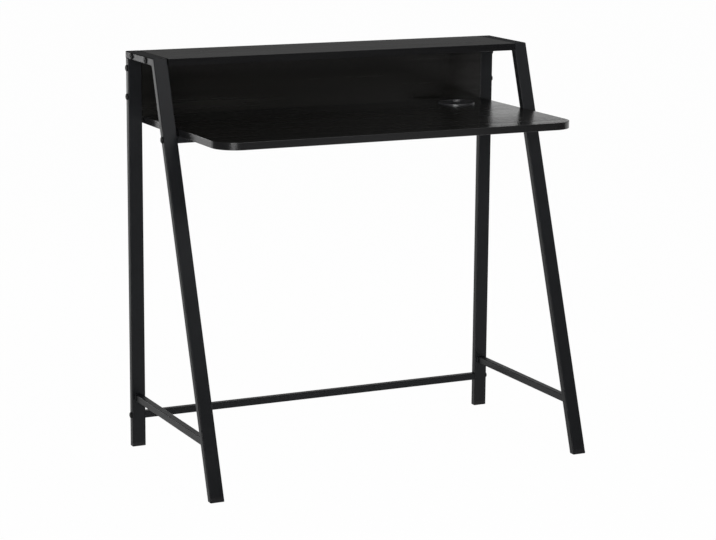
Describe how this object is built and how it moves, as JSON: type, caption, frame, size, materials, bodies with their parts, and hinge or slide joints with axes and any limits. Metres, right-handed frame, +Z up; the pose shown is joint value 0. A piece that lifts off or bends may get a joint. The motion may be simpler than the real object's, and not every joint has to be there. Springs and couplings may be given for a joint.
{
  "type": "ladder desk",
  "caption": "Small writing desk with leaning black steel side frames, a round-cornered desktop with a cable grommet, a low back panel and a narrow top shelf.",
  "frame": {"origin": "on the floor, under the middle of the desk's width and depth", "axes": "+X to the right and -Y to the front as seen by the sitter, +Z up"},
  "size_m": [0.8692, 0.4566, 0.85],
  "materials": {
    "powder_coat": "satin",
    "laminate": "satin",
    "edge_band": "satin",
    "grommet_plastic": "gloss",
    "foot_plastic": "matte",
    "black_bolt_steel": "satin",
    "zinc_steel": "plated"
  },
  "bodies": {
    "desk": {"left_rear_leg": "powder_coat", "right_rear_leg": "powder_coat", "left_front_leg": "powder_coat", "right_front_leg": "powder_coat", "left_top_bar": "powder_coat", "right_top_bar": "powder_coat", "left_side_stretcher": "powder_coat", "right_side_stretcher": "powder_coat", "rear_stretcher": "powder_coat", "rear_stretcher_end_nuts": "zinc_steel", "front_crossbar": "powder_coat", "front_crossbar_end_nuts": "zinc_steel", "top_bar_end_plugs": "foot_plastic", "left_front_foot": "foot_plastic", "right_front_foot": "foot_plastic", "left_rear_foot": "foot_plastic", "right_rear_foot": "foot_plastic", "top_shelf": "laminate", "shelf_front_edge_band": "edge_band", "shelf_rear_edge_band": "edge_band", "back_panel": "laminate", "desktop": "laminate", "desktop_edge_band": "edge_band", "desktop_rear_edge_band": "edge_band", "grommet_sleeve": "grommet_plastic", "shelf_bolts": "black_bolt_steel", "shelf_insert_nuts": "zinc_steel", "back_panel_bolts": "black_bolt_steel", "back_panel_insert_nuts": "zinc_steel", "front_crossbar_bolts": "black_bolt_steel", "rear_stretcher_bolts": "black_bolt_steel", "desktop_screws": "zinc_steel", "back_panel_screws": "zinc_steel"},
    "cap": {"grommet_cap": "grommet_plastic"}
  },
  "joints": [
    {"name": "cap_turn", "type": "hinge", "parent": "desk", "child": "cap", "pos_m": [0.301, 0.1385, 0.714], "axis": [0, 0, 1], "continuous": true}
  ]
}
